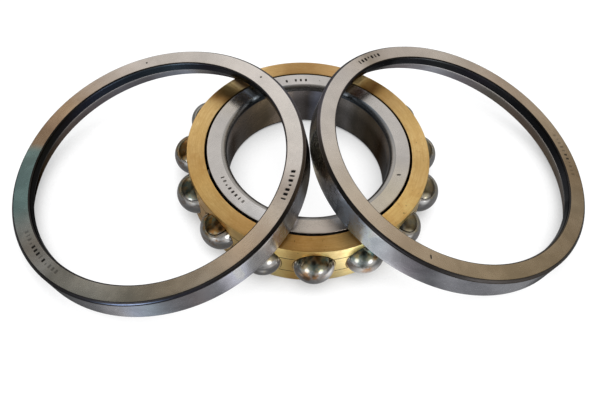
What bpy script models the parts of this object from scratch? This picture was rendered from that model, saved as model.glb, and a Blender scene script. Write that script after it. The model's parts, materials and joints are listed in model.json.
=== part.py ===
"""Four-point contact ball bearing with a split outer ring, 120 x 215 x 40 mm, laid open.

The one-piece inner ring stands on its face, inside the brass cage with its fifteen balls.
The two halves of the split outer ring are off the bearing, one on the left (-X) and one on the
right (+X). Each has its low edge on the table and its split face leaning on the cage's top edge.

Metres, +Z up. Lengths below are in millimetres and are multiplied by MM, angles are in degrees.
The table is z = 0 and the origin is the middle of the whole set's footprint on it.
"""

import math

import bmesh
import bpy
from mathutils import Matrix, Vector

MM = 0.001

# ---- boundary dimensions (diameter series 2, bore code 24) ----
BORE_R = 120.0 / 2
OUTSIDE_R = 215.0 / 2
WIDTH = 40.0
HALF_WIDTH = WIDTH / 2  # also the width of one outer ring half

# ---- balls and raceways ----
BALL_R = 30.1625 / 2  # 1 3/16 in diameter
BALL_COUNT = 15
BALL_SUBDIVISIONS = 3
PITCH_R = 85.4
FIRST_BALL_DEG = -90.0 + 7.63
GROOVE_R = 0.526 * 2 * BALL_R  # groove radius as a share of the ball diameter
CONTACT_DEG = 35.0
RACE_GAP = 0.22  # running gap between a ball and a raceway
INNER_FLOOR_R = PITCH_R - BALL_R - RACE_GAP
SPLIT_FLOOR_R = PITCH_R + BALL_R + RACE_GAP  # outer raceway where the halves meet

# ---- inner ring ----
SHOULDER_R = 74.6
SHOULDER_EDGE = 0.7
BORE_CORNER_R = 4.3  # radial leg of the rounded bore corner
BORE_CORNER_Z = 3.3  # axial leg

# ---- outer ring halves ----
LAND_R = 93.3
LAND_EDGE = 1.3
OD_CORNER = 2.1
OD_CORNER_MIDDLE = 0.6  # inset of the corner's middle point from both faces
SPLIT_EDGE = 0.5

# ---- cage ----
CAGE_IN_R = 76.35
CAGE_OUT_R = 89.15
CAGE_WIDTH = 38.8
CAGE_EDGE = 0.4
POCKET_R = 15.4
MOUTH_R = 15.15  # narrower mouth at a pocket's outer end
MOUTH_START = 87.3  # radius from the bearing axis at which the mouth begins
POCKET_OVERRUN = 1.9  # how far the pocket drills start inside the cage's bore
MOUTH_OVERLAP = 4.0  # how far the mouth drills start inside the pitch radius
MOUTH_OVERRUN = 4.0  # how far they run beyond the cage
DRILL_SIDES = 24

# ---- layout of the open set ----
AXIS_X, AXIS_Y = -0.8225, 12.0797  # bearing axis, which centres the footprint on the origin
LEAN_GAP = 0.3  # gap between a split face and the cage
LEAN_RANGE_DEG = (5, 25)
LEAN_HALVINGS = 60
CONTACT_INSET = 0.3  # how far inside the split face's inner edge contact still counts
# name, direction and distance of the end face's centre from the bearing axis
HALVES = [
    ("outer_half_left", 196.67, 111.0),
    ("outer_half_right", 3.86, 108.45),
]

RING_STEPS = 5 * BALL_COUNT


# ------------------------------------------------------------------ scene and helpers
for old in list(bpy.data.objects):
    bpy.data.objects.remove(old, do_unlink=True)

parts = bpy.data.collections.new("split_outer_ring_ball_bearing")
helpers = bpy.data.collections.new("cutters")
bpy.context.scene.collection.children.link(parts)
bpy.context.scene.collection.children.link(helpers)


def metal(name, color, roughness):
    mat = bpy.data.materials.new(name)
    mat.use_nodes = True
    shader = mat.node_tree.nodes["Principled BSDF"]
    shader.inputs["Base Color"].default_value = (*color, 1.0)
    shader.inputs["Roughness"].default_value = roughness
    shader.inputs["Metallic"].default_value = 1.0
    return mat


INNER_STEEL = metal("inner_ring_steel", color=(0.50, 0.48, 0.46), roughness=0.34)
OUTER_STEEL = metal("outer_ring_steel", color=(0.46, 0.43, 0.40), roughness=0.34)
BALL_STEEL = metal("ball_steel", color=(0.60, 0.58, 0.55), roughness=0.08)
BRASS = metal("cage_brass", color=(0.66, 0.50, 0.24), roughness=0.38)


def add_empty(name, location, rotation=Matrix.Identity(4)):
    empty = bpy.data.objects.new(name, None)
    empty.matrix_world = Matrix.Translation(Vector(location) * MM) @ rotation
    parts.objects.link(empty)
    return empty


def finish_mesh(name, bm):
    """Turn a bmesh into a mesh and free it."""
    mesh = bpy.data.meshes.new(name)
    bm.to_mesh(mesh)
    bm.free()
    return mesh


def add_object(name, mesh, collection, parent, location=(0.0, 0.0, 0.0)):
    """An object at a location in its parent's frame."""
    ob = bpy.data.objects.new(name, mesh)
    collection.objects.link(ob)
    ob.parent = parent
    ob.location = Vector(location) * MM
    return ob


def arc(centre_r, centre_z, radius, start, end, count):
    """Points on a circle in the (radius, height) half-plane, angles from the outward direction."""
    points = []
    for i in range(count + 1):
        angle = math.radians(start + (end - start) * i / count)
        points.append((centre_r + radius * math.cos(angle), centre_z + radius * math.sin(angle)))
    return points


def turned(name, profile, mat, parent):
    """A closed (radius, height) profile swept once round its parent's Z axis."""
    bm = bmesh.new()
    verts = [bm.verts.new((r * MM, 0.0, z * MM)) for r, z in profile]
    for a, b in zip(verts, verts[1:] + verts[:1]):
        bm.edges.new((a, b))
    ob = add_object(name, finish_mesh(name, bm), parts, parent)
    ob.data.materials.append(mat)
    screw = ob.modifiers.new("turn", "SCREW")
    screw.axis = "Z"
    screw.angle = 2 * math.pi
    screw.steps = RING_STEPS
    screw.render_steps = RING_STEPS
    screw.use_merge_vertices = True
    screw.merge_threshold = 0.00001
    screw.use_smooth_shade = True
    return ob


# ------------------------------------------------------------------ inner ring
def bore_corner(side):
    """Quarter ellipse from the end face to the bore; side is +1 for the top, -1 for the bottom."""
    points = []
    for i in range(4):
        angle = math.radians(90.0 * i / 3)
        r = BORE_R + BORE_CORNER_R * (1 - math.sin(angle))
        z = side * (HALF_WIDTH - BORE_CORNER_Z * (1 - math.cos(angle)))
        points.append((r, z))
    return points


def inner_profile():
    """Two shoulders, the ball groove and rounded bore corners, about mid height z = 0."""
    groove_centre = INNER_FLOOR_R + GROOVE_R
    reach = math.degrees(math.acos((groove_centre - SHOULDER_R) / GROOVE_R))
    return [
        (SHOULDER_R - SHOULDER_EDGE, HALF_WIDTH),
        (SHOULDER_R, HALF_WIDTH - SHOULDER_EDGE),
        *arc(groove_centre, 0.0, GROOVE_R, 180 - reach, 180 + reach, 9),
        (SHOULDER_R, -HALF_WIDTH + SHOULDER_EDGE),
        (SHOULDER_R - SHOULDER_EDGE, -HALF_WIDTH),
        *bore_corner(-1),
        *reversed(bore_corner(+1)),
    ]


# ------------------------------------------------------------------ cage
def cage_profile():
    """A rectangle with bevelled corners, about mid height z = 0."""
    top = CAGE_WIDTH / 2
    return [
        (CAGE_OUT_R - CAGE_EDGE, top),
        (CAGE_OUT_R, top - CAGE_EDGE),
        (CAGE_OUT_R, -top + CAGE_EDGE),
        (CAGE_OUT_R - CAGE_EDGE, -top),
        (CAGE_IN_R + CAGE_EDGE, -top),
        (CAGE_IN_R, -top + CAGE_EDGE),
        (CAGE_IN_R, top - CAGE_EDGE),
        (CAGE_IN_R + CAGE_EDGE, top),
    ]


def ball_angle(i):
    return math.radians(FIRST_BALL_DEG + 360.0 * i / BALL_COUNT)


def cut_radial_holes(cage, name, start, end, radius):
    """Cut the cage with one mesh of drills, one along the radius through each ball.

    The flats of a drill touch the given radius from outside.
    """
    corner_r = radius / math.cos(math.pi / DRILL_SIDES) * MM
    half_side_turn = Matrix.Rotation(math.pi / DRILL_SIDES, 4, "Z")
    bm = bmesh.new()
    for i in range(BALL_COUNT):
        angle = ball_angle(i)
        along = Matrix.Rotation(angle, 4, "Z") @ Matrix.Rotation(math.pi / 2, 4, "Y")
        outward = Vector((math.cos(angle), math.sin(angle), 0.0))
        middle = outward * ((start + end) / 2 * MM)
        bmesh.ops.create_cone(
            bm,
            cap_ends=True,
            segments=DRILL_SIDES,
            radius1=corner_r,
            radius2=corner_r,
            depth=(end - start) * MM,
            matrix=Matrix.Translation(middle) @ along @ half_side_turn,
        )
    drills = add_object(name, finish_mesh(name, bm), helpers, cage.parent)
    drills.hide_render = True
    drills.display_type = "WIRE"
    cut = cage.modifiers.new(name, "BOOLEAN")
    cut.operation = "DIFFERENCE"
    cut.solver = "EXACT"
    cut.object = drills


def add_cage(bearing):
    cage = turned("ball_cage", cage_profile(), BRASS, bearing)
    cut_radial_holes(
        cage, "pocket_drills", CAGE_IN_R - POCKET_OVERRUN, MOUTH_START, POCKET_R
    )
    cut_radial_holes(
        cage, "mouth_drills", PITCH_R - MOUTH_OVERLAP, CAGE_OUT_R + MOUTH_OVERRUN, MOUTH_R
    )


# ------------------------------------------------------------------ balls
def add_balls(bearing):
    """All balls share one mesh."""
    bm = bmesh.new()
    bmesh.ops.create_icosphere(bm, subdivisions=BALL_SUBDIVISIONS, radius=BALL_R * MM)
    mesh = finish_mesh("ball", bm)
    mesh.materials.append(BALL_STEEL)
    mesh.shade_smooth()
    for i in range(BALL_COUNT):
        angle = ball_angle(i)
        centre = (PITCH_R * math.cos(angle), PITCH_R * math.sin(angle), 0.0)
        add_object(f"ball_{i + 1:02d}", mesh, parts, bearing, centre)


# ------------------------------------------------------------------ outer ring halves
def half_profile():
    """End face at z = 0 and split face at z = -HALF_WIDTH.

    The groove is one flank of the pointed-arch raceway: its centre lies beyond the split face.
    """
    split_z = -HALF_WIDTH
    shift = (GROOVE_R - BALL_R) * math.sin(math.radians(CONTACT_DEG))
    centre_r = SPLIT_FLOOR_R - math.sqrt(GROOVE_R**2 - shift**2)
    start = math.degrees(math.asin(shift / GROOVE_R))
    end = math.degrees(math.acos((LAND_R - centre_r) / GROOVE_R))
    return [
        (OUTSIDE_R - OD_CORNER, 0.0),
        (OUTSIDE_R - OD_CORNER_MIDDLE, -OD_CORNER_MIDDLE),
        (OUTSIDE_R, -OD_CORNER),
        (OUTSIDE_R, split_z + SPLIT_EDGE),
        (OUTSIDE_R - SPLIT_EDGE, split_z),
        *arc(centre_r, split_z - shift, GROOVE_R, start, end, 5),
        (LAND_R, -LAND_EDGE),
        (LAND_R + LAND_EDGE, 0.0),
    ]


def end_face_height(lean):
    """Height of the end face's centre when the half's low edge is on the table."""
    cos, sin = math.cos(lean), math.sin(lean)
    low_split = -HALF_WIDTH * cos - (OUTSIDE_R - SPLIT_EDGE) * sin
    low_side = -(HALF_WIDTH - SPLIT_EDGE) * cos - OUTSIDE_R * sin
    return -min(low_split, low_side)


def gap_to_cage(lean, offset):
    """Smallest distance from the split face down to the cage's bevelled top edge."""
    cos, sin = math.cos(lean), math.sin(lean)
    # the split face's centre: distance from the end face's centre towards the bearing, height
    face_inward = HALF_WIDTH * sin
    face_z = end_face_height(lean) - HALF_WIDTH * cos
    cage_top = (WIDTH + CAGE_WIDTH) / 2
    edge = [(CAGE_OUT_R - CAGE_EDGE, cage_top), (CAGE_OUT_R, cage_top - CAGE_EDGE)]
    smallest = 1e9
    for edge_r, edge_z in edge:
        for quarter_degree in range(4 * 30, 4 * 90):
            angle = math.radians(quarter_degree / 4)
            inward = offset - edge_r * math.cos(angle) - face_inward
            sideways = edge_r * math.sin(angle)
            rise = edge_z - face_z
            up_face = inward * cos + rise * sin
            below_face = inward * sin - rise * cos
            if SPLIT_FLOOR_R - CONTACT_INSET <= math.hypot(up_face, sideways) <= OUTSIDE_R:
                smallest = min(smallest, below_face)
    return smallest


def find_lean(offset):
    """Bisect for the lean, in radians, that leaves LEAN_GAP between the half and the cage."""
    low, high = (math.radians(degrees) for degrees in LEAN_RANGE_DEG)
    for _ in range(LEAN_HALVINGS):
        middle = (low + high) / 2
        if gap_to_cage(middle, offset) > LEAN_GAP:
            high = middle
        else:
            low = middle
    return high


def add_leaning_half(name, direction_deg, offset):
    lean = find_lean(offset)
    direction = math.radians(direction_deg)
    seat = add_empty(
        name + "_seat",
        (
            AXIS_X + offset * math.cos(direction),
            AXIS_Y + offset * math.sin(direction),
            end_face_height(lean),
        ),
        Matrix.Rotation(direction, 4, "Z") @ Matrix.Rotation(lean, 4, "Y"),
    )
    turned(name, half_profile(), OUTER_STEEL, seat)


# ------------------------------------------------------------------ the set
bearing_axis = add_empty("bearing_axis", (AXIS_X, AXIS_Y, HALF_WIDTH))
turned("inner_ring", inner_profile(), INNER_STEEL, bearing_axis)
add_cage(bearing_axis)
add_balls(bearing_axis)
for half_name, half_direction, half_offset in HALVES:
    add_leaning_half(half_name, half_direction, half_offset)
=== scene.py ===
"""A ball bearing with an outer ring split into two halves: finished meshes, materials and studio.

The inner ring, cage and balls stand round an upright axis (+Z), and the camera looks down from -Y.
Each piece is built about its own centre, with turned pieces round Z. Those coordinates are kept
in the attribute "loc" for its material, and the mesh is then moved onto the CAD's joints.
Sizes of the pieces are in millimetres; the scene is in metres.
"""

import json
import math

import bmesh
import bpy
import numpy as np
from mathutils import Matrix, Vector


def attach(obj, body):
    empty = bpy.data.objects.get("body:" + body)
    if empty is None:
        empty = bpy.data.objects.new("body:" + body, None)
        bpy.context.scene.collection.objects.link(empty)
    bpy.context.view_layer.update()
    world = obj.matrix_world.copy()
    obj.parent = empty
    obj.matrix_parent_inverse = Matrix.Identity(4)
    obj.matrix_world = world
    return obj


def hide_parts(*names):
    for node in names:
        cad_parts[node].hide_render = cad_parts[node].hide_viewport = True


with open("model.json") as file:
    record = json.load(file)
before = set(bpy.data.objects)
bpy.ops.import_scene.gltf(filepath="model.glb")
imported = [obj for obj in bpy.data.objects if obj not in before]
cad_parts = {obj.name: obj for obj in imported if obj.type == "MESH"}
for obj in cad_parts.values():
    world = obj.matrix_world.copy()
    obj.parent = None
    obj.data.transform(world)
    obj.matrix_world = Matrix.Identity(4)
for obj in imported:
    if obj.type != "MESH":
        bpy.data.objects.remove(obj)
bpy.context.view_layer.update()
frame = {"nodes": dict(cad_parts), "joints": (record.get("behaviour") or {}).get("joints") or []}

MM = 0.001
scene = bpy.context.scene
scene.view_settings.view_transform = "Standard"
scene.view_settings.look = "None"
scene.view_settings.exposure = 0.0
scene.view_settings.gamma = 1.0

joints = {joint["name"]: joint for joint in frame["joints"]}
AXIS = Vector(joints["cage_spin"]["pos_m"])
BALLS = sorted(n for n in frame["nodes"] if n.startswith("ball_") and n[5:].isdigit())
BALL_CENTRES = {name: Vector(joints[name + "_roll"]["pos_m"]) for name in BALLS}

# ------------------------------------------------------------------ sizes, as in the CAD
BORE_R = 60.0
WIDTH = 40.0
HALF_WIDTH = WIDTH / 2
OUTSIDE_R = 107.5
BALL_R = 15.08125
PITCH_R = 85.4
GROOVE_R = 0.526 * 2 * BALL_R
BALL_GAP = 0.22  # between a ball and the floor of either raceway
SHOULDER_R = 74.6
LAND_R = 93.3
CAGE_IN_R = 76.35
CAGE_OUT_R = 89.15
CAGE_HALF_HEIGHT = 19.4

RING_STEP = 0.75  # degrees between the sections of a ring
CAGE_STEP = 1.0
SHARP_EDGE = math.radians(32)


# ------------------------------------------------------------------ mesh tools
class Profile:
    """A closed (radius, height) outline, with a material zone for the stretch ending at each point.

    It is walked down the outer side and back up the inner side.
    """

    def __init__(self):
        self.points = []
        self.zones = []

    def to(self, radius, height, zone, step=None):
        """A straight stretch; step splits it into equal pieces of about that length."""
        if step:
            r0, z0 = self.points[-1]
            count = max(1, int(round(math.hypot(radius - r0, height - z0) / step)))
            for i in range(1, count):
                point = (r0 + (radius - r0) * i / count, z0 + (height - z0) * i / count)
                self.points.append(point)
                self.zones.append(zone)
        self.points.append((radius, height))
        self.zones.append(zone)

    def arc(self, centre, radii, degrees, steps, zone):
        """An arc of an ellipse between two angles, leaving out points that repeat the last."""
        start, end = degrees
        for i in range(steps + 1):
            angle = math.radians(start + (end - start) * i / steps)
            point = (
                centre[0] + radii[0] * math.cos(angle),
                centre[1] + radii[1] * math.sin(angle),
            )
            if self.points and math.dist(point, self.points[-1]) < 1e-4:
                continue
            self.points.append(point)
            self.zones.append(zone)

    def close(self):
        """Drops the last point, which repeats the first."""
        self.points.pop()
        self.zones.pop()
        return self


def link_object(name, data):
    item = bpy.data.objects.new(name, data)
    scene.collection.objects.link(item)
    return item


def punch(points, angles, heights, dark, marks, face_height):
    """Sinks the marks into the flat face at face_height, and fills in how dark they are."""
    on_face = np.nonzero(np.abs(points[:, 1] - face_height) < 1e-6)[0]
    for mark in marks:
        turn = (angles - math.radians(mark["degrees"]) + math.pi) % (2 * math.pi) - math.pi
        along = turn * mark["radius"]
        near = np.abs(along) < MARK_REACH
        along = along[near]
        for i in on_face:
            across = points[i, 0] - mark["radius"]
            if abs(across) > MARK_REACH:
                continue
            depth = np.zeros(near.sum())
            for x0, y0, x1, y1, width in mark["strokes"]:
                run, rise = x1 - x0, y1 - y0
                squared = run * run + rise * rise + 1e-9
                part = np.clip(((along - x0) * run + (across - y0) * rise) / squared, 0, 1)
                away = np.hypot(along - x0 - part * run, across - y0 - part * rise)
                wall = width * MARK_WALL
                depth = np.maximum(depth, np.clip((width / 2 - away) / wall, 0, 1))
            heights[i, near] -= depth * mark["depth"]
            dark[i, near] = np.maximum(dark[i, near], depth * mark["dark"])


def turned(name, profile, angles, marks=(), face_height=0.0):
    """The profile swept through sorted angles (degrees), with marks punched at face_height."""
    points = np.array(profile.points)
    rows, cols = len(points), len(angles)
    angles = np.radians(np.array(angles))
    radii = np.repeat(points[:, 0][:, None], cols, 1)
    heights = np.repeat(points[:, 1][:, None], cols, 1)
    dark = np.zeros((rows, cols))
    punch(points, angles, heights, dark, marks, face_height)

    coords = np.stack([radii * np.cos(angles), radii * np.sin(angles), heights], axis=-1)
    coords = coords.reshape(-1, 3) * MM
    i = np.arange(rows)[:, None]
    j = np.arange(cols)[None, :]
    next_i, next_j = (i + 1) % rows, (j + 1) % cols
    corners = [i * cols + j, next_i * cols + j, next_i * cols + next_j, i * cols + next_j]
    quads = np.stack(corners, axis=-1).reshape(-1, 4)
    mesh = bpy.data.meshes.new(name)
    mesh.vertices.add(len(coords))
    mesh.vertices.foreach_set("co", coords.astype(np.float32).ravel())
    mesh.loops.add(len(quads) * 4)
    mesh.loops.foreach_set("vertex_index", quads.astype(np.int32).ravel())
    mesh.polygons.add(len(quads))
    starts = np.arange(0, len(quads) * 4, 4, dtype=np.int32)
    mesh.polygons.foreach_set("loop_start", starts)
    mesh.polygons.foreach_set("loop_total", np.full(len(quads), 4, np.int32))
    order = list(dict.fromkeys(profile.zones))
    slots = np.array([order.index(profile.zones[(k + 1) % rows]) for k in range(rows)])
    mesh.polygons.foreach_set("material_index", np.repeat(slots, cols).astype(np.int32))
    mesh.update(calc_edges=True)
    mesh.validate()
    for zone in order:
        mesh.materials.append(MATERIALS[zone])
    attribute = mesh.attributes.new("mark", "FLOAT", "POINT")
    attribute.data.foreach_set("value", dark.reshape(-1).astype(np.float32))
    mesh.shade_smooth()
    mesh.set_sharp_from_angle(angle=SHARP_EDGE)
    return link_object(name, mesh)


def ring_angles(marks):
    """Even angles, made finer across the marks."""
    angles = list(np.arange(0, 360, RING_STEP))
    for mark in marks:
        middle, radius = mark["degrees"], mark["radius"]
        reach = math.degrees(MARK_HALF / radius)
        step = math.degrees(MARK_STEP / radius)
        angles += list(np.arange(middle - reach, middle + reach, step))
    angles = np.sort(np.array(angles) % 360)
    keep = [angles[0]]
    for angle in angles[1:]:
        if angle - keep[-1] > 0.045:
            keep.append(angle)
    return keep


def place(piece, matrix, body, node):
    """Keeps the piece's own coordinates in "loc" and moves its mesh into the shared frame."""
    mesh = piece.data
    coords = np.empty(len(mesh.vertices) * 3, np.float32)
    mesh.vertices.foreach_get("co", coords)
    mesh.attributes.new("loc", "FLOAT_VECTOR", "POINT").data.foreach_set("vector", coords)
    mesh.transform(matrix)
    mesh.update()
    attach(piece, body)
    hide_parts(node)


# ------------------------------------------------------------------ node tools
class Value:
    """An output of a shader node; arithmetic on it adds math nodes."""

    def __init__(self, graph, socket):
        self.graph = graph
        self.socket = socket

    def math(self, operation, other=0.0):
        return self.graph.math(operation, self, other)

    def __add__(self, other):
        return self.math("ADD", other)

    def __radd__(self, other):
        return self.graph.math("ADD", other, self)

    def __sub__(self, other):
        return self.math("SUBTRACT", other)

    def __rsub__(self, other):
        return self.graph.math("SUBTRACT", other, self)

    def __mul__(self, other):
        return self.math("MULTIPLY", other)

    def __truediv__(self, other):
        return self.math("DIVIDE", other)

    def clamped(self):
        """Limits the math node just made to between 0 and 1."""
        self.socket.node.use_clamp = True
        return self

    def remap(self, low, high, start=0.0, end=1.0, smooth=True):
        """start where the value is low, end where it is high, and a blend between."""
        return self.graph.add(
            "ShaderNodeMapRange",
            output="Result",
            inputs={
                "Value": self, "From Min": low, "From Max": high, "To Min": start, "To Max": end,
            },
            interpolation_type="SMOOTHSTEP" if smooth else "LINEAR",
        )


class Graph:
    """Adds nodes to a tree and hands back their outputs as Values."""

    def __init__(self, tree):
        self.tree = tree

    def set(self, node, inputs):
        for key, value in inputs.items():
            if isinstance(value, Value):
                self.tree.links.new(value.socket, node.inputs[key])
            else:
                node.inputs[key].default_value = value

    def node(self, kind, inputs=None, **settings):
        node = self.tree.nodes.new(kind)
        for key, value in settings.items():
            setattr(node, key, value)
        self.set(node, inputs or {})
        return node

    def pick(self, node, *outputs):
        return [Value(self, node.outputs[key]) for key in outputs]

    def add(self, kind, inputs=None, output=0, **settings):
        return Value(self, self.node(kind, inputs, **settings).outputs[output])

    def math(self, operation, first, second):
        inputs = {0: first, 1: second, 2: 0.0}
        return self.add("ShaderNodeMath", inputs, operation=operation)

    def attribute(self, name, output="Fac"):
        return self.add("ShaderNodeAttribute", output=output, attribute_name=name)

    def split(self, vector):
        return self.pick(self.node("ShaderNodeSeparateXYZ", {0: vector}), 0, 1, 2)

    def combine(self, x, y, z):
        return self.add("ShaderNodeCombineXYZ", {0: x, 1: y, 2: z})

    def grey(self, value):
        return self.combine(value, value, value)

    def noise(self, vector, scale, detail=3.0, rough=0.55, distortion=0.0):
        inputs = {
            "Vector": vector, "Scale": scale, "Detail": detail, "Roughness": rough,
            "Distortion": distortion,
        }
        return self.add("ShaderNodeTexNoise", inputs, output="Fac")

    def mix(self, amount, first, second, mode="MIX"):
        first, second = ((*c, 1.0) if isinstance(c, tuple) else c for c in (first, second))
        return self.add(
            "ShaderNodeMix",
            {0: amount, 6: first, 7: second},
            output=2,
            data_type="RGBA",
            blend_type=mode,
            clamp_factor=True,
        )

    def multiply(self, first, second):
        return self.mix(1.0, first, second, "MULTIPLY")

    def ramp(self, value, stops):
        """Colours or greys joined along the value; stops are (position, colour or grey)."""
        node = self.node("ShaderNodeValToRGB", {0: value})
        elements = node.color_ramp.elements
        while len(elements) < len(stops):
            elements.new(0.5)
        for element, (position, color) in zip(elements, stops):
            element.position = position
            element.color = (*color, 1.0) if isinstance(color, tuple) else (*(color,) * 3, 1.0)
        return Value(self, node.outputs[0])

    def polar(self):
        """The piece's own coordinates, then radius (mm), angle (0 to 1 turn) and height (mm)."""
        own = self.attribute("loc", "Vector")
        x, y, z = self.split(own)
        radius = (x * x + y * y).math("SQRT") * 1000.0
        turn = y.math("ARCTAN2", x) / (2 * math.pi)
        turn = (turn + 1.0).math("FRACT")
        return own, radius, turn, z * 1000.0

    def spot(self, direction, towards, inner, outer):
        """1 in the direction towards, falling softly to 0 from inner to outer (degrees)."""
        x, y, z = direction
        aim = Vector(towards).normalized()
        dot = x * aim.x + (y * aim.y + z * aim.z)
        return dot.remap(math.cos(math.radians(outer)), math.cos(math.radians(inner)))

    def bump(self, height, strength, distance, normal=None):
        inputs = {"Strength": strength, "Distance": distance, "Height": height}
        if normal is not None:
            inputs["Normal"] = normal
        return self.add("ShaderNodeBump", inputs)


def principled(name):
    material = bpy.data.materials.new(name)
    material.use_nodes = True
    shader = material.node_tree.nodes["Principled BSDF"]
    return material, Graph(material.node_tree), shader


def scaled(color, gains):
    """The colour times a number, or times a number for each channel."""
    if not isinstance(gains, tuple):
        gains = (gains,) * 3
    return tuple(channel * gain for channel, gain in zip(color, gains))


def turning_lay(graph, radius, turn, height, across, along):
    """Tool lay: noise that is fine across the lay and long round the ring, without a seam."""
    angle = turn * (2 * math.pi)
    x = angle.math("COSINE") * (90.0 * along)
    y = angle.math("SINE") * (90.0 * along)
    z = (radius + height * 1.37) * across
    return graph.noise(graph.combine(x, y, z), scale=1.0, detail=3.0, rough=0.6)


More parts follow.
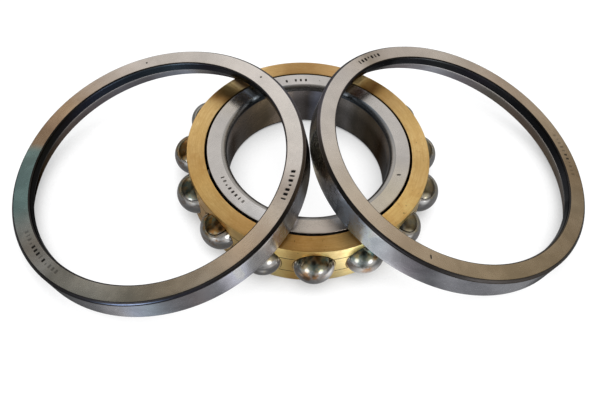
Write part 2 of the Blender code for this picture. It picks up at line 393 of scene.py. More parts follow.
# ------------------------------------------------------------------ painted light and shade, with tarnish, round each piece
# Painted highlights, reflections and shade, mixed with some tarnish: (degrees, grey) or
# (degrees, red, green, blue) factors on the base colour, by each piece's own angle.
PAINTED_LIGHT_AND_TARNISH = {
    "left_face": [
        (3, 0.54, 0.9, 0.98), (14, 0.86, 0.99, 1.04), (24, 0.8, 0.79, 0.76),
        (36, 0.98, 1.04, 1.08), (42, 0.68, 0.71, 0.69), (52, 1.08, 1.12, 1.08),
        (62, 1.08, 1.13, 1.1), (71, 0.84, 0.86, 0.8), (90, 0.88, 0.82, 0.68),
        (104, 1.1, 1.04, 0.9), (120, 1.26, 1.09, 0.87), (138, 1.24, 1.2, 1.1),
        (149, 0.84, 0.8, 0.76), (160, 1.24, 1.26, 1.28), (180, 1.22, 1.25, 1.26),
        (212, 1.2, 1.22, 1.24), (258, 0.98, 1.0, 1.01), (272, 1.14, 1.16, 1.18),
        (289, 1.14, 1.11, 1.08), (302, 1.02, 0.92, 0.8), (310, 1.12, 0.92, 0.68),
        (321, 0.9, 0.71, 0.54), (332, 0.87, 0.71, 0.54), (335.5, 0.56, 0.93, 1.02),
        (348, 0.54, 0.9, 1.02),
    ],
    "right_face": [
        (0, 0.74, 0.64, 0.5), (20, 0.88, 0.8, 0.68), (29, 1.0, 0.92, 0.8), (60, 0.9, 0.82, 0.76),
        (90, 1.07), (120, 0.86, 0.83, 0.82), (131, 0.66, 0.62, 0.56), (139, 1.0, 0.98, 0.96),
        (150, 1.04, 1.05, 1.07), (180, 1.1, 1.11, 1.13), (190, 1.22, 1.23, 1.24),
        (202, 1.08, 1.07, 1.05), (212, 1.15, 1.12, 1.06), (240, 1.12, 1.03, 0.91),
        (285, 1.02, 0.94, 0.78), (330, 0.88, 0.8, 0.68), (345, 0.98, 0.92, 0.8),
    ],
    "inner_face": [
        (0, 1.02), (30, 1.08), (47, 1.0), (54, 0.88), (60, 0.43, 0.41, 0.47),
        (65, 0.23, 0.19, 0.14), (71, 0.22, 0.19, 0.15), (82, 1.08), (98, 1.08), (110, 0.97),
        (127, 0.92), (132, 0.19, 0.21, 0.21), (138, 0.17, 0.21, 0.27), (144, 0.42, 0.48, 0.6),
        (150, 1.36, 1.33, 1.24), (157, 0.98, 0.96, 0.92), (165, 0.93), (180, 0.96), (195, 1.09),
        (225, 1.17), (250, 1.55, 1.6, 1.66), (259, 1.6, 1.63, 1.7), (268, 1.06, 1.0, 0.92),
        (285, 1.24, 1.15, 1.06), (330, 1.18, 1.12, 0.95),
    ],
    "left_od": [
        (0, 0.75, 0.95, 1.0), (15, 0.82), (22, 0.66), (30, 0.22), (36, 0.28), (40, 0.12),
        (45, 0.2), (52, 0.46), (63, 0.74), (70, 1.18, 1.16, 1.14), (76, 1.02, 1.14, 1.32),
        (82, 0.98, 1.16, 1.26), (90, 0.78), (97, 0.78, 0.7, 0.66), (105, 0.86),
        (109, 1.7, 1.68, 1.75), (114, 2.3, 2.35, 2.5), (120, 1.0, 0.98, 0.92),
        (126, 1.02, 0.94, 0.82), (130, 2.1, 1.95, 1.9), (135, 1.85, 2.2, 2.5),
        (140, 1.0, 1.0, 0.95), (145, 1.6, 1.55, 1.5), (150, 0.9), (155, 0.52, 0.44, 0.31),
        (160, 0.5, 0.37, 0.22), (166, 0.16, 0.13, 0.1), (172, 0.2, 0.17, 0.14), (200, 0.8),
    ],
    "right_od": [
        (150, 1.2), (160, 5.5, 6.2, 8.0), (167, 0.42, 0.49, 0.56), (175, 0.25, 0.31, 0.38),
        (180, 0.7, 0.7, 0.6), (185, 5.6, 5.2, 3.6), (193, 3.4, 3.0, 2.1), (200, 1.15, 1.0, 0.75),
        (208, 1.3), (216, 0.98, 1.12, 1.24), (224, 0.9, 1.14, 1.45), (231, 2.15, 2.3, 2.3),
        (240, 1.0), (248, 0.6, 0.56, 0.58), (256, 0.6), (264, 1.1), (285, 0.9), (296, 0.74),
        (304, 0.14), (314, 0.07, 0.062, 0.045), (350, 0.8),
    ],
    "left_edge": [
        (20, 0.8), (48, 0.8), (60, 0.42, 0.5, 0.75), (66, 1.0, 1.4, 2.1), (72, 2.8, 3.9, 6.2),
        (79, 4.4, 5.8, 8.5), (85, 2.3, 3.3, 5.2), (91, 0.65, 0.75, 1.2), (100, 0.55, 0.55, 0.8),
        (107, 0.3), (122, 0.3), (140, 0.9), (150, 2.8, 2.4, 2.0), (163, 3.4, 3.1, 2.9),
        (200, 2.8, 2.9, 3.4), (216, 1.6), (240, 1.0), (300, 1.0),
    ],
    "right_edge": [
        (140, 1.0), (156, 1.8, 1.8, 2.1), (170, 2.7, 2.8, 3.4), (183, 3.8, 3.8, 4.0),
        (195, 2.0, 1.8, 1.5), (208, 0.9), (225, 0.9), (238, 2.6, 2.8, 3.4), (252, 0.9),
        (276, 1.0), (290, 2.6, 2.4, 2.2), (304, 3.2, 2.9, 2.5), (320, 1.2), (60, 0.8),
    ],
    "left_oxide": [
        (0, 0.8), (40, 0.75), (80, 0.9, 0.95, 1.1), (110, 0.8), (140, 0.9), (150, 2.6, 2.2, 2.0),
        (163, 3.2, 2.9, 2.7), (200, 2.7, 2.8, 3.3), (216, 1.6), (240, 1.0), (300, 1.0),
    ],
    "right_oxide": [
        (30, 0.8), (140, 1.0), (156, 1.8, 1.8, 2.1), (170, 2.8, 2.9, 3.5), (183, 3.8, 3.8, 4.0),
        (195, 2.1, 1.8, 1.5), (208, 0.9), (262, 0.9), (282, 2.0, 1.9, 1.8), (300, 2.6, 2.4, 2.1),
        (316, 1.7, 1.5, 1.1), (340, 1.0),
    ],
    "left_land": [
        (200, 0.6), (225, 1.0), (240, 1.05, 0.95, 1.3), (255, 2.8, 3.9, 4.5),
        (272, 1.8, 2.4, 2.7), (300, 1.8, 2.1, 2.9), (315, 1.0, 0.85, 0.9),
        (330, 0.76, 0.75, 0.5), (350, 0.6, 0.5, 0.42), (20, 0.3), (90, 0.8),
    ],
    "right_land": [
        (315, 0.7), (345, 0.55), (0, 1.7), (14, 0.8), (45, 0.8), (60, 0.85),
        (75, 1.7, 1.5, 1.75), (90, 2.0, 2.1, 1.9), (105, 1.8), (120, 0.45), (200, 0.8),
    ],
    "left_race": [
        (210, 1.2), (225, 0.6), (240, 0.5, 0.5, 0.56), (248, 1.2), (255, 2.0, 2.3, 2.85),
        (264, 1.4, 1.55, 1.9), (272, 0.95, 0.98, 1.1), (285, 1.03, 1.06, 1.25),
        (300, 0.91, 0.84, 0.92), (315, 0.85, 0.68, 0.6), (330, 0.48, 0.36, 0.25),
        (345, 0.22, 0.18, 0.13), (2, 0.14, 0.11, 0.09), (20, 0.5), (100, 0.8),
    ],
    "right_race": [
        (330, 0.9, 0.92, 0.95), (345, 0.7, 0.62, 0.58), (0, 1.05, 0.93, 0.82),
        (15, 0.92, 0.76, 0.57), (30, 0.75, 0.6, 0.48), (45, 0.89, 0.72, 0.6),
        (60, 0.92, 0.88, 0.77), (75, 1.4, 1.35, 1.55), (90, 2.6, 2.85, 3.3),
        (105, 1.7, 1.6, 1.75), (120, 0.4), (200, 0.8),
    ],
    "bore": [
        (0, 0.35, 0.21, 0.08), (8, 0.6, 0.39, 0.13), (16, 0.6, 0.41, 0.19), (24, 0.5, 0.35, 0.21),
        (33, 0.6, 0.5, 0.34), (42, 0.6, 0.53, 0.42), (52, 1.0), (55, 0.95, 1.0, 1.05),
        (63, 1.9, 2.15, 2.7), (75, 1.0, 1.05, 1.2), (88, 2.2, 2.8, 4.6), (95, 1.0, 1.05, 1.3),
        (104, 2.3, 2.5, 3.2), (117, 4.2, 4.0, 4.0), (127, 2.2, 2.0, 1.6), (135, 2.1, 1.85, 1.5),
        (150, 1.1, 0.98, 0.87), (167, 0.6, 0.38, 0.18), (177, 0.6, 0.36, 0.16), (200, 0.4),
        (270, 0.7), (330, 0.4),
    ],
    "bore_edge": [
        (0, 1.0), (48, 0.45, 0.55, 0.68), (72, 0.45, 0.55, 0.68), (84, 0.9), (106, 0.9),
        (122, 0.42, 0.53, 0.64), (142, 0.45, 0.55, 0.66), (156, 1.0),
    ],
    "cage_face": [
        (0, 1.03, 1.02, 0.98), (15, 1.16, 1.19, 1.18), (28, 0.98, 0.98, 0.93),
        (41, 0.82, 0.81, 0.8), (50, 0.7, 0.64, 0.54), (55, 0.33, 0.24, 0.16),
        (62, 0.5, 0.48, 0.39), (68, 0.75, 0.9, 1.1), (80, 0.8, 0.76, 0.8), (92, 0.6, 0.54, 0.5),
        (108, 0.55, 0.48, 0.42), (124, 1.0), (134, 0.2, 0.2, 0.26), (140, 0.45, 0.54, 0.64),
        (145, 0.26, 0.25, 0.21), (150, 0.6, 0.5, 0.42), (155, 0.94, 0.96, 0.96),
        (161, 1.08, 1.12, 1.16), (180, 1.0, 0.99, 0.92), (195, 0.88, 0.83, 0.74),
        (210, 0.92, 0.87, 0.73), (225, 0.86, 0.84, 0.74), (240, 0.82, 0.74, 0.64),
        (262, 0.74, 0.62, 0.46), (273, 0.74, 0.61, 0.45), (281, 0.66, 0.55, 0.4),
        (290, 0.98, 0.88, 0.72), (330, 1.24, 1.25, 1.12), (342, 1.2, 1.22, 1.16),
        (350, 1.08, 1.08, 1.04),
    ],
    "cage_od": [
        (180, 0.9, 0.8, 0.65), (215, 0.9, 0.72, 0.52), (250, 0.95, 0.9, 0.8),
        (259, 1.25, 1.35, 1.4), (263, 1.15, 1.15, 1.05), (268, 0.9, 0.76, 0.54),
        (276, 0.95, 0.82, 0.64), (283, 1.12, 1.12, 1.1), (290, 1.0, 1.08, 1.2),
        (297, 1.5, 1.58, 1.62), (306, 1.4, 1.42, 1.3), (340, 1.0),
    ],
}


def by_angle(zone, wobble=0.005):
    """A tint of painted light, shade and tarnish from its table, joined up past 360; wobble (turns)
    makes its borders uneven.
    """
    stops = sorted(
        (degrees % 360 / 360.0, tuple(color) if len(color) == 3 else tuple(color) * 3)
        for degrees, *color in PAINTED_LIGHT_AND_TARNISH[zone]
    )
    (first, first_color), (last, last_color) = stops[0], stops[-1]
    if first > 0:
        part = (1 - last) / max(first + 1 - last, 1e-6)
        seam = tuple(b + (a - b) * part for a, b in zip(first_color, last_color))
        stops = [(0.0, seam)] + stops + [(1.0, seam)]
    else:
        stops = stops + [(1.0, first_color)]

    def tint(graph, own, turn, height):
        ragged = graph.noise(own, scale=30.0, detail=3.0, rough=0.6)
        shifted = turn + ragged.remap(0.2, 0.8, -wobble, wobble, smooth=False)
        return graph.ramp((shifted + 1.0).math("FRACT"), stops)

    return tint


def painted_light_rising(base_tint, low, high, gain):
    """The same tint, with painted light growing from one height (mm) to another."""

    def tint(graph, own, turn, height):
        factor = height.remap(low, high, 1.0, gain)
        return graph.multiply(base_tint(graph, own, turn, height), graph.grey(factor))

    return tint


# ------------------------------------------------------------------ steel of the rings
RUST_SPECK = (0.16, 0.10, 0.05)
PUNCHED_DARK = (0.012, 0.011, 0.011)


def steel(
    name, base, rough, tint=None, edge=1.0, lay=0.3, blotch=0.16, spots=0.35, across=9.0,
    again=None,
):
    """Ground steel with tool lay, cloudy variation, rust specks and dark punched marks.

    edge is the brightness at grazing angles, lay and blotch are the depth of the tool lay and
    of the clouds, spots is the strength of the rust and across is the fineness of the lay.
    again is the colour that other surfaces reflect.
    """
    material, graph, shader = principled(name)
    own, radius, turn, height = graph.polar()
    lines = turning_lay(graph, radius, turn, height, across, along=0.35)
    cloud = graph.noise(own, scale=38.0, detail=5.0, rough=0.6, distortion=0.4)
    fine = graph.noise(own, scale=420.0, detail=3.0, rough=0.6)
    dull, bright = scaled(base, 1 - blotch), scaled(base, 1 + blotch * 0.7)
    color = graph.mix(cloud.remap(0.3, 0.72), dull, bright)
    # tint paints highlights, reflections and shade, with some tarnish, into the base colour; its
    # brightness also scales the grazing reflection
    if tint is not None:
        shade = tint(graph, own, turn, height)
        color = graph.multiply(color, shade)
        grazing = graph.add("ShaderNodeRGBToBW", {0: shade}) * (1.25 * edge)
        graph.set(shader, {"Specular Tint": graph.grey(grazing.clamped())})
    lines_depth = lines.remap(0.35, 0.7, 0.0, lay)
    color = graph.mix(lines_depth, color, (0.72, 0.72, 0.72), "MULTIPLY")
    speck = graph.noise(own, scale=900.0, detail=1.0, rough=0.5)
    where = graph.noise(own, scale=55.0, detail=2.0, rough=0.5)
    rust = speck.remap(0.70, 0.76) * where.remap(0.5, 0.66)
    color = graph.mix(rust * spots, color, RUST_SPECK)
    mark = graph.attribute("mark")
    color = graph.mix(mark, color, PUNCHED_DARK)
    if again is not None:
        # lighter in the polished surfaces round it than when seen directly
        first = graph.add("ShaderNodeLightPath", output="Is Camera Ray")
        color = graph.mix(first, again, color)
    roughness = cloud.remap(0.3, 0.7, rough - 0.05, rough + 0.06)
    roughness = roughness + lines.remap(0.3, 0.7, -0.03, 0.05)
    roughness = roughness + mark * 0.3
    roughness = (roughness + rust * 0.3).clamped()
    relief = graph.bump(lines, strength=0.22, distance=0.00003)
    relief = graph.bump(fine, strength=0.12, distance=0.00004, normal=relief)
    graph.set(shader, {
        "Base Color": color, "Metallic": 0.98, "Roughness": roughness, "Normal": relief,
    })
    return material


FACE_STEEL = (0.60, 0.565, 0.54)
GROUND_STEEL = (0.455, 0.457, 0.488)
RACE_STEEL = (0.26, 0.245, 0.23)
EDGE_STEEL = (0.045, 0.042, 0.042)
LAND_STEEL = (0.020, 0.021, 0.024)
# the bore's dark base is painted shade inside the bore
BORE_STEEL_PAINTED_SHADE = (0.115, 0.095, 0.072)

# tint= in these materials paints highlights, reflections and shade by angle into the base colour,
# mixed with some tarnish
MATERIALS = {
    "face_inner": steel(
        "inner_face_ground_steel_painted_light", (0.60, 0.575, 0.56), rough=0.25, lay=0.18,
        tint=by_angle("inner_face"),
    ),
    "face_left": steel(
        "left_half_ground_face_painted_light", FACE_STEEL, rough=0.25, lay=0.15, blotch=0.19,
        tint=by_angle("left_face"),
    ),
    "face_right": steel(
        "right_half_ground_face_painted_light", FACE_STEEL, rough=0.25, lay=0.15, tint=by_angle("right_face"),
    ),
    "od": steel("ground_shoulder_steel", GROUND_STEEL, rough=0.24, across=7.0, blotch=0.25),
    # the bore and its corner: painted highlights and shade by angle, painted lighter towards the
    # upper face
    "bore": steel(
        "bore_ground_steel_painted_light", BORE_STEEL_PAINTED_SHADE, rough=0.24, across=7.0, blotch=0.3,
        tint=painted_light_rising(by_angle("bore"), low=2.0, high=15.0, gain=1.9),
    ),
    "bore_edge": steel(
        "bore_corner_steel_painted_light", (0.13, 0.125, 0.12), rough=0.27, across=6.0,
        tint=painted_light_rising(by_angle("bore_edge"), low=18.7, high=19.95, gain=3.2),
    ),
    "race": steel("inner_raceway_steel", RACE_STEEL, rough=0.17, lay=0.15, across=5.0),
}
# the blackened oxide of edges and lands is real; the tints paint highlights, glint lines,
# reflections and shade by angle, with some tarnish
for side in ("left", "right"):
    MATERIALS["oxide_" + side] = steel(
        side + "_oxide_edge", EDGE_STEEL, rough=0.34, edge=0.8, spots=0.2, across=4.0,
        tint=by_angle(side + "_oxide"),
    )
    MATERIALS["edge_" + side] = steel(
        side + "_blackened_edge", EDGE_STEEL, rough=0.26, across=4.0,
        tint=by_angle(side + "_edge"),
    )
    MATERIALS["od_" + side] = steel(
        side + "_outside_ground_steel_painted_light", GROUND_STEEL, rough=0.24, across=7.0, blotch=0.25,
        tint=by_angle(side + "_od"),
    )
    MATERIALS["land_" + side] = steel(
        side + "_blackened_land", LAND_STEEL, rough=0.24, spots=0.2, across=4.0,
        tint=by_angle(side + "_land"),
    )
    MATERIALS["race_" + side] = steel(
        side + "_raceway_steel", RACE_STEEL, rough=0.17, lay=0.15, across=5.0,
        tint=by_angle(side + "_race"), again=(0.78, 0.75, 0.72),
    )


# ------------------------------------------------------------------ brass of the cage
BRASS_RUST = (0.13, 0.055, 0.018)
BRASS_MARK = (0.05, 0.03, 0.012)


def brass(name, base, rough, spots, tint=None):
    """Turned brass with three widths of tool lay, grit, stains and dark specks."""
    material, graph, shader = principled(name)
    own, radius, turn, height = graph.polar()
    lines = turning_lay(graph, radius, turn, height, across=6.0, along=0.22)
    fine = turning_lay(graph, radius, turn, height, across=22.0, along=0.6)
    broad = turning_lay(graph, radius, turn, height, across=1.25, along=0.05)
    cloud = graph.noise(own, scale=30.0, detail=5.0, rough=0.6, distortion=0.6)
    stain = graph.noise(own, scale=85.0, detail=4.0, rough=0.65, distortion=0.3)
    grit = graph.noise(own, scale=700.0, detail=3.0, rough=0.65)
    color = graph.mix(cloud.remap(0.3, 0.7), scaled(base, (0.86, 0.82, 0.74)), base)
    # pattern, where it begins and is full, its strength, and its tone as factors on the base
    for pattern, low, high, strength, tone in (
        (lines, 0.38, 0.66, 0.60, (0.76, 0.68, 0.54)),
        (fine, 0.42, 0.66, 0.45, (0.76, 0.68, 0.55)),
        (broad, 0.44, 0.60, 0.75, (0.80, 0.71, 0.58)),
        (grit, 0.48, 0.70, 0.36, (0.72, 0.62, 0.48)),
        (stain, 0.50, 0.68, 0.42, (0.70, 0.56, 0.40)),
    ):
        color = graph.mix(pattern.remap(low, high, 0.0, strength), color, scaled(base, tone))
    # tint paints highlights, reflections and shade by angle into the base colour, with some tarnish
    if tint is not None:
        color = graph.multiply(color, tint(graph, own, turn, height))
    speck = graph.noise(own, scale=430.0, detail=1.0, rough=0.5)
    where = graph.noise(own, scale=40.0, detail=2.0, rough=0.5)
    rust = speck.remap(0.69, 0.76) * where.remap(0.50, 0.66)
    color = graph.mix(rust * spots, color, BRASS_RUST)
    color = graph.mix(graph.attribute("mark"), color, BRASS_MARK)
    roughness = lines.remap(0.3, 0.7, rough - 0.05, rough + 0.07) + rust * 0.2
    relief = graph.bump(lines, strength=0.35, distance=0.00004)
    graph.set(shader, {
        "Base Color": color,
        "Metallic": 0.96,
        "Roughness": roughness.clamped(),
        "Normal": graph.bump(fine, strength=0.25, distance=0.00003, normal=relief),
        "Anisotropic": 0.35,
        "Tangent": graph.add("ShaderNodeTangent", direction_type="RADIAL", axis="Z"),
    })
    return material


# the cage's tints paint the halves' shadows and reflections and bright highlights onto its face and
# outside, with some tarnish
MATERIALS["brass_face"] = brass(
    "cage_face_brass_painted_light", (0.93, 0.675, 0.325), rough=0.37, spots=0.5,
    tint=by_angle("cage_face", wobble=0.012),
)
MATERIALS["brass_od"] = brass(
    "cage_outside_brass_painted_light", (0.87, 0.69, 0.32), rough=0.34, spots=0.5,
    tint=by_angle("cage_od", wobble=0.008),
)
# dark brass in the grooves, the pockets and their flared mouths: painted shade in the recesses and
# round the balls
MATERIALS["brass_groove"] = brass("cage_groove_brass_painted_shade", (0.06, 0.035, 0.015), rough=0.5, spots=0.3)
MATERIALS["brass_pocket"] = brass("cage_pocket_brass_painted_shade", (0.30, 0.20, 0.08), rough=0.38, spots=0.5)
MATERIALS["brass_lip"] = brass(
    "cage_staked_lip_brass_painted_shade", (0.10, 0.065, 0.03), rough=0.45, spots=0.3,
)

# ------------------------------------------------------------------ steel of the balls
# by ball number: strength of amber, blue-green, pale and rust, and brightness of bare steel
TARNISH = {
    1: (0.50, 0.80, 0.35, 0.35, 0.80),
    2: (0.35, 1.0, 0.40, 0.35, 0.82),
    3: (0.30, 0.15, 1.0, 0.25, 1.0),
    4: (0.25, 0.15, 0.9, 0.1, 1.0),
    5: (0.2, 0.2, 1.0, 0.2, 1.0),
    11: (0.1, 0.2, 0.3, 0.1, 1.0),
    12: (1.0, 0.45, 0.25, 0.9, 0.95),
    13: (0.6, 0.9, 0.4, 0.4, 0.95),
    14: (1.0, 0.35, 0.35, 0.9, 0.95),
    15: (0.5, 0.1, 0.8, 0.2, 0.80),
}
OTHER_TARNISH = (0.5, 0.4, 0.4, 0.4, 1.0)

# single stains by ball number: direction from its centre, half angle (degrees), strength
AMBER_STAINS = {
    1: [
        ((-0.30, -0.93, 0.22), 16, 1.0), ((0.10, -0.93, 0.28), 12, 0.9),
        ((-0.55, -0.55, 0.62), 9, 0.7), ((0.05, -0.40, 0.90), 13, 0.8),
    ],
    2: [
        ((0.27, -0.96, 0.0), 17, 1.0), ((-0.66, -0.74, -0.05), 17, 0.8),
        ((0.50, -0.60, 0.60), 9, 0.6),
    ],
    12: [((-0.25, -0.35, 0.90), 26, 1.0)],
    14: [((0.10, -0.40, 0.90), 20, 1.0), ((-0.30, -0.60, 0.72), 10, 0.9)],
}
# blue-green stains; those near the viewer's direction also paint the dark reflection of the viewer
TEAL_STAINS_AND_VIEWER_REFLECTION = {
    1: [
        ((0.0, -0.68, 0.74), 13, 1.0), ((-0.05, -0.87, 0.49), 10, 0.8),
        ((-0.62, -0.50, 0.60), 12, 0.8),
    ],
    2: [
        ((-0.05, -0.89, 0.45), 15, 1.0), ((0.0, -0.69, 0.72), 12, 1.0),
        ((-0.50, -0.72, 0.48), 10, 0.9),
    ],
    12: [((-0.10, -0.75, 0.65), 14, 0.6)],
    13: [((-0.10, -0.58, 0.81), 20, 1.0), ((-0.45, -0.20, 0.87), 12, 0.7)],
}
# stain attribute, colour, strength; the blue-green entry also carries the painted reflection of the
# viewer
STAIN_AND_REFLECTION_TONES = (("amber", (0.30, 0.14, 0.04), 0.85), ("teal", (0.10, 0.155, 0.15), 0.66))

STEEL_DULL, STEEL_BRIGHT = (0.375, 0.37, 0.365), (0.45, 0.445, 0.435)
STEEL_PAINTED_SHADE_BELOW = (0.19, 0.187, 0.183)
OLIVE, STRAW, PALE = (0.20, 0.185, 0.085), (0.36, 0.31, 0.20), (0.52, 0.48, 0.33)
BLUE_GREEN, AMBER, NEAR_BLACK = (0.08, 0.17, 0.17), (0.36, 0.18, 0.04), (0.05, 0.042, 0.035)
BALL_RUST, PAINTED_SHADE_INWARD = (0.20, 0.095, 0.025), (0.060, 0.050, 0.041)


def ball_steel(name, number):
    """Polished steel: tarnish on the side that lies up, a belt of rust flecks, painted shade below
    and facing the inner ring.
    """
    material, graph, shader = principled(name)
    own = graph.attribute("loc", "Vector")
    top = graph.attribute("top")
    inward = graph.attribute("inward")
    shift = (number * 0.37, number * 0.91, number * 0.13)
    spot_at = graph.add("ShaderNodeMapping", {"Vector": own, "Location": shift})
    ambers, greens, pales, rusts, bare = TARNISH.get(number, OTHER_TARNISH)
    strong = max(ambers, greens)

    edge = graph.noise(spot_at, scale=130.0, detail=4.0, rough=0.6, distortion=0.2)
    up = top + edge.remap(0.3, 0.7, -0.20, 0.20, smooth=False)
    high = up.remap(0.18, 0.50)
    straw = graph.noise(spot_at, scale=150.0, detail=5.0, rough=0.65, distortion=0.2)
    amber = graph.noise(spot_at, scale=200.0, detail=6.0, rough=0.68, distortion=0.25)
    green = graph.noise(spot_at, scale=160.0, detail=6.0, rough=0.66, distortion=0.25)
    pale = graph.noise(spot_at, scale=190.0, detail=4.0, rough=0.6, distortion=0.6)
    deep = graph.noise(spot_at, scale=220.0, detail=6.0, rough=0.70, distortion=0.3)
    cloud = graph.noise(spot_at, scale=110.0, detail=3.0, rough=0.6, distortion=0.4)

    dull, bright = scaled(STEEL_DULL, bare), scaled(STEEL_BRIGHT, bare)
    color = graph.mix(cloud.remap(0.35, 0.65), dull, bright)
    # painted shade: the underside is darkened grey, dimming its reflection of the floor
    color = graph.mix(up.remap(-0.45, -0.02, 0.75, 0.0), color, STEEL_PAINTED_SHADE_BELOW)
    color = graph.mix(high * (0.92 * strong), color, OLIVE)
    # pattern, where it begins and is full, strength, colour
    for pattern, low, full, strength, tone in (
        (pale, 0.42, 0.56, 0.7 * pales, PALE),
        (green, 0.44, 0.60, 0.92 * greens, BLUE_GREEN),
        (amber, 0.42, 0.58, 0.90 * ambers, AMBER),
        (deep, 0.51, 0.63, 0.8 * strong, NEAR_BLACK),
    ):
        color = graph.mix(pattern.remap(low, full) * (high * strength), color, tone)

    ragged = graph.noise(spot_at, scale=560.0, detail=6.0, rough=0.72, distortion=0.25)
    ragged = (ragged - 0.5) * 3.6
    # amber stains and blue-green stains, the latter partly a painted reflection of the viewer; all
    # painted darker towards the underside as painted shade
    for key, tone, strength in STAIN_AND_REFLECTION_TONES:
        stain = graph.attribute(key)
        amount = (stain + stain * ragged).remap(0.10, 0.95) * strength
        shaded = graph.mix(up.remap(-0.35, 0.25), scaled(tone, 0.42), tone)
        color = graph.mix(amount, color, shaded)

    # rust flecks in a belt below the bright side, and a trace of straw all over
    belt = up.remap(-0.42, -0.12) * up.remap(0.02, 0.20, 1.0, 0.0)
    rust = graph.noise(spot_at, scale=140.0, detail=6.0, rough=0.70, distortion=0.2)
    color = graph.mix(rust.remap(0.46, 0.60) * (belt * (0.95 * rusts)), color, BALL_RUST)
    color = graph.mix(straw.remap(0.54, 0.66) * 0.30, color, STRAW)
    # painted shade on the side that faces the inner ring, deep between the parts
    color = graph.mix(inward.remap(0.28, 0.68), color, PAINTED_SHADE_INWARD)
    roughness = amber.remap(0.4, 0.7, 0.09, 0.15) + (
        rust.remap(0.56, 0.68) * (belt * 0.25) + inward.remap(0.25, 0.6, 0.0, 0.3)
    )
    scratches = graph.noise(spot_at, scale=700.0, detail=3.0, rough=0.7)
    graph.set(shader, {
        "Base Color": color,
        "Metallic": 1.0,
        "Roughness": roughness,
        "Normal": graph.bump(scratches, strength=0.06, distance=0.00002),
    })
    return material


# ------------------------------------------------------------------ punched marks
MARK_REACH = 3.0  # a mark only touches points this near its middle
MARK_HALF = 2.0  # half the length of ring that is divided finely for a mark
MARK_STEP = 0.16  # length of those fine divisions
MARK_WALL = 0.28  # the sloping wall of a stroke, as a part of its width

# strokes: x0, y0, x1, y1, width; x runs round the ring and y outwards
STROKES = {
    "pair": [(-0.30, -0.80, -0.30, 0.80, 1.30), (0.30, -0.80, 0.30, 0.80, 1.30)],
    "bar": [(0.0, -1.0, 0.0, 1.0, 1.15)],
    "dash": [(0.0, 0.25, 0.0, 0.85, 1.35)],
    "dot": [(0.0, 0.0, 0.01, 0.0, 1.8)],
    "slant": [(-0.40, -0.95, 0.40, 0.95, 1.30)],
}
ROW = ("pair", "bar", "pair", "dash", "pair", "pair", "bar")


def mark(degrees, radius, kind, depth=0.16, dark=1.0, scale=1.0):
    return {
        "degrees": degrees % 360,
        "radius": radius,
        "depth": depth,
        "dark": dark,
        "strokes": [scale_stroke(stroke, scale) for stroke in STROKES[kind]],
    }


def scale_stroke(stroke, scale):
    return tuple(number * scale for number in stroke)


def mark_row(
    count, start, pitch, radius, kinds, scale, depth=0.16, dark=1.0, others=(), other_dark=1.0
):
    """Marks spaced evenly by pitch (degrees), repeating kinds; others are those of other_dark."""
    return [
        mark(
            start + pitch * i, radius, kinds[i % len(kinds)], depth=depth,
            dark=other_dark if i in others else dark, scale=scale,
        )
        for i in range(count)
    ]


LEFT_MARKS = [
    *mark_row(7, start=144.6, pitch=2.07, radius=100.6, kinds=ROW[::-1], scale=1.2),
    *mark_row(
        13, start=17.0, pitch=2.1, radius=99.0, kinds=ROW[:6], scale=1.2, depth=0.06,
        dark=0.5, others=(4, 5, 6, 8), other_dark=0.95,
    ),
    mark(269.3, 100.0, "dot"),
    mark(211.0, 100.6, "dot"),
]
RIGHT_MARKS = [
    *mark_row(7, start=124.8, pitch=2.0, radius=100.6, kinds=ROW, scale=1.15),
    *mark_row(
        11, start=0.8, pitch=2.2, radius=99.5, kinds=ROW[:6], scale=1.1, depth=0.06,
        dark=0.34, others=(4, 5, 7), other_dark=0.8,
    ),
    mark(252.4, 100.0, "slant"),
]
INNER_MARKS = [
    *mark_row(
        8, start=211.5, pitch=3.05, radius=68.4, kinds=ROW[1:6] + ROW[:1], scale=0.95,
        dark=0.9, others=(1, 7), other_dark=0.6,
    ),
    mark(109.5, 68.4, "pair", dark=0.95),
    mark(103.4, 68.4, "pair", dark=0.9),
    mark(100.0, 68.4, "pair", dark=0.9),
    mark(96.6, 68.4, "pair", dark=0.95),
    mark(87.5, 68.4, "dash", depth=0.05, dark=0.3),
    mark(-14.6, 68.6, "slant"),
]

# ------------------------------------------------------------------ inner ring
INNER_EDGE = 0.3  # radius of the shoulder edges
BORE_CORNER_R = 4.3  # the elliptical bore corners, across the face and along the bore
BORE_CORNER_Z = 3.3
BORE_CORNER_STEPS = 14


def bore_corner(outline, end, steps):
    """The bore corner at the upper (1) or lower (-1) end, counted from face to bore."""
    for i in steps:
        angle = math.radians(90.0 * i / BORE_CORNER_STEPS)
        radius = BORE_R + BORE_CORNER_R * (1 - math.sin(angle))
        height = HALF_WIDTH - BORE_CORNER_Z * (1 - math.cos(angle))
        outline.to(radius, end * height, "bore_edge")


